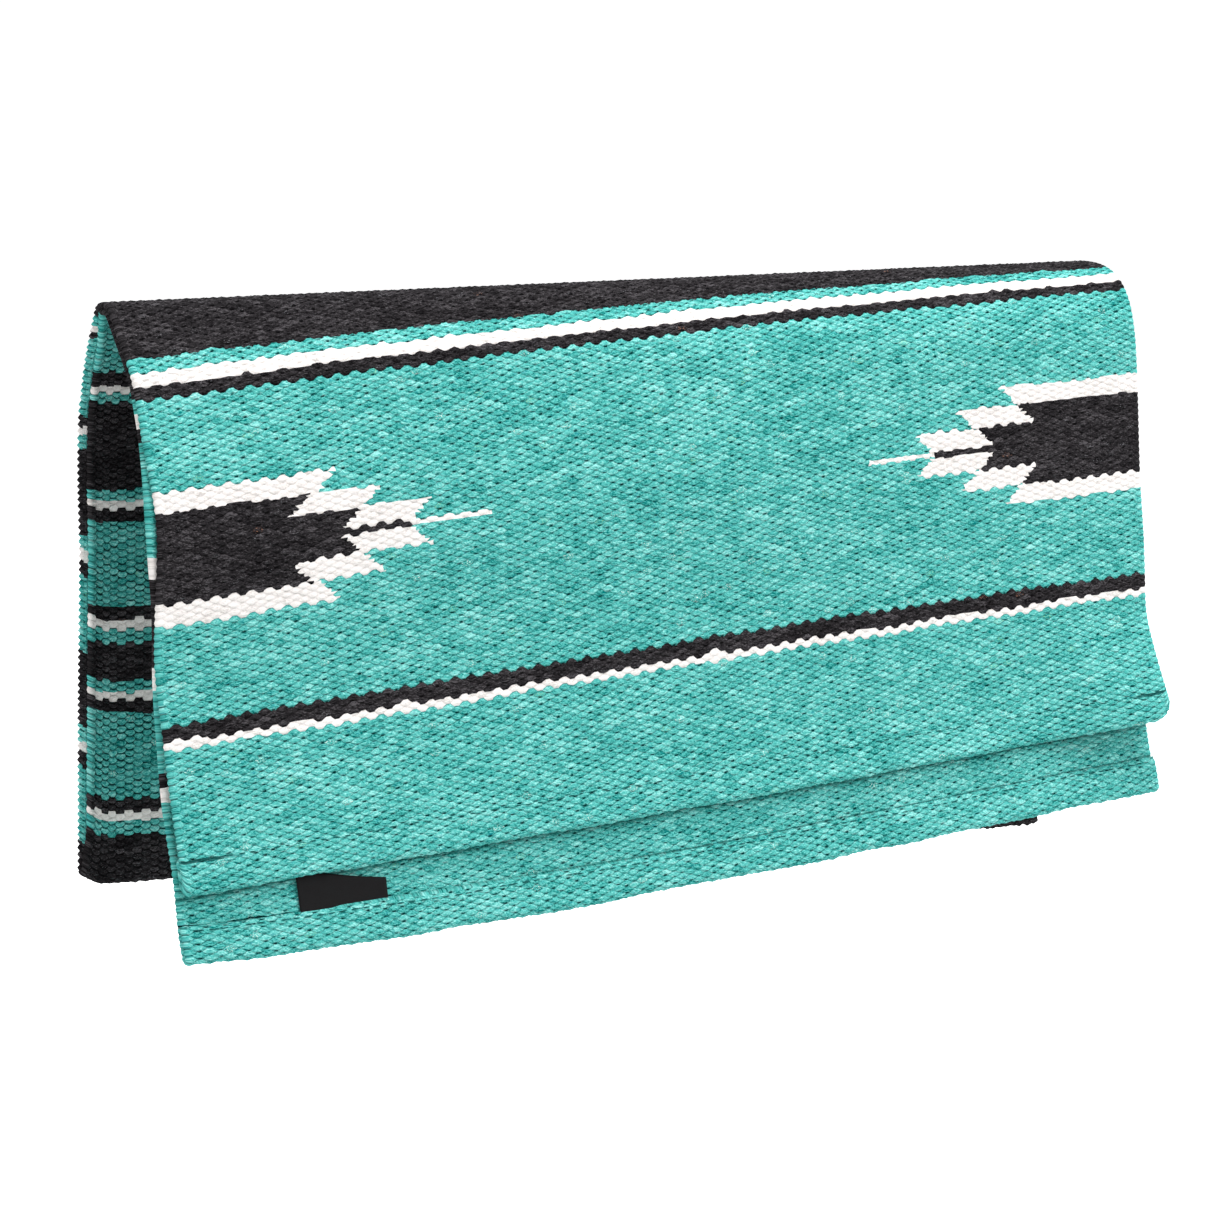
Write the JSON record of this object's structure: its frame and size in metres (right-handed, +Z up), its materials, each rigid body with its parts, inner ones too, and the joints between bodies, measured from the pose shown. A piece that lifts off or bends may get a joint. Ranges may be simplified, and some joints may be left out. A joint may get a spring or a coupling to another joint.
{
  "type": "saddle blanket",
  "caption": "Striped woven wool saddle blanket, a long sheet folded double and hung over a rail, with turned hems, a stepped arrow motif and a plain label.",
  "frame": {"origin": "under the ridge at mid width, where the rail or the horse's back carries the blanket", "axes": "+X along the ridge from the near end to the far end, +Z up, the front flap with the label at -Y and the back flap with the bottom fold at +Y"},
  "size_m": [0.864, 0.2082, 0.477],
  "materials": {
    "black_weave": "weft-faced wool rib weave, charcoal black",
    "teal_weave": "weft-faced wool rib weave, heathered teal with black and white stripes",
    "hem_thread": "matt sewing thread",
    "label_cloth": "fine plain-woven label tape, bare"
  },
  "bodies": {
    "ridge": {"outer_ridge": "black_weave", "inner_ridge": "black_weave"},
    "outer_front": {"outer_front_panel": "teal_weave", "outer_front_hem": "teal_weave", "outer_hem_stitching": "hem_thread"},
    "inner_front": {"inner_front_panel": "teal_weave", "inner_front_hem": "teal_weave", "inner_hem_stitching": "hem_thread", "woven_label": "label_cloth"},
    "back": {"outer_back_panel": "teal_weave", "inner_back_panel": "teal_weave", "bottom_fold": "black_weave"}
  },
  "joints": [
    {"name": "outer_front_spread", "type": "hinge", "parent": "ridge", "child": "outer_front", "pos_m": [0, -0.06864, -0.05342], "axis": [-0.9998, 0.0078, -0.0195], "range_deg": [0, 50]},
    {"name": "inner_front_spread", "type": "hinge", "parent": "ridge", "child": "inner_front", "pos_m": [0, -0.06864, -0.05342], "axis": [-0.9998, 0.0078, -0.0195], "range_deg": [0, 50]},
    {"name": "back_spread", "type": "hinge", "parent": "ridge", "child": "back", "pos_m": [0, 0.04691, -0.07415], "axis": [1, 0, 0], "range_deg": [0, 50]}
  ],
  "couplings": [
    {"joint": "inner_front_spread", "follows": "outer_front_spread", "ratio": 1}
  ]
}
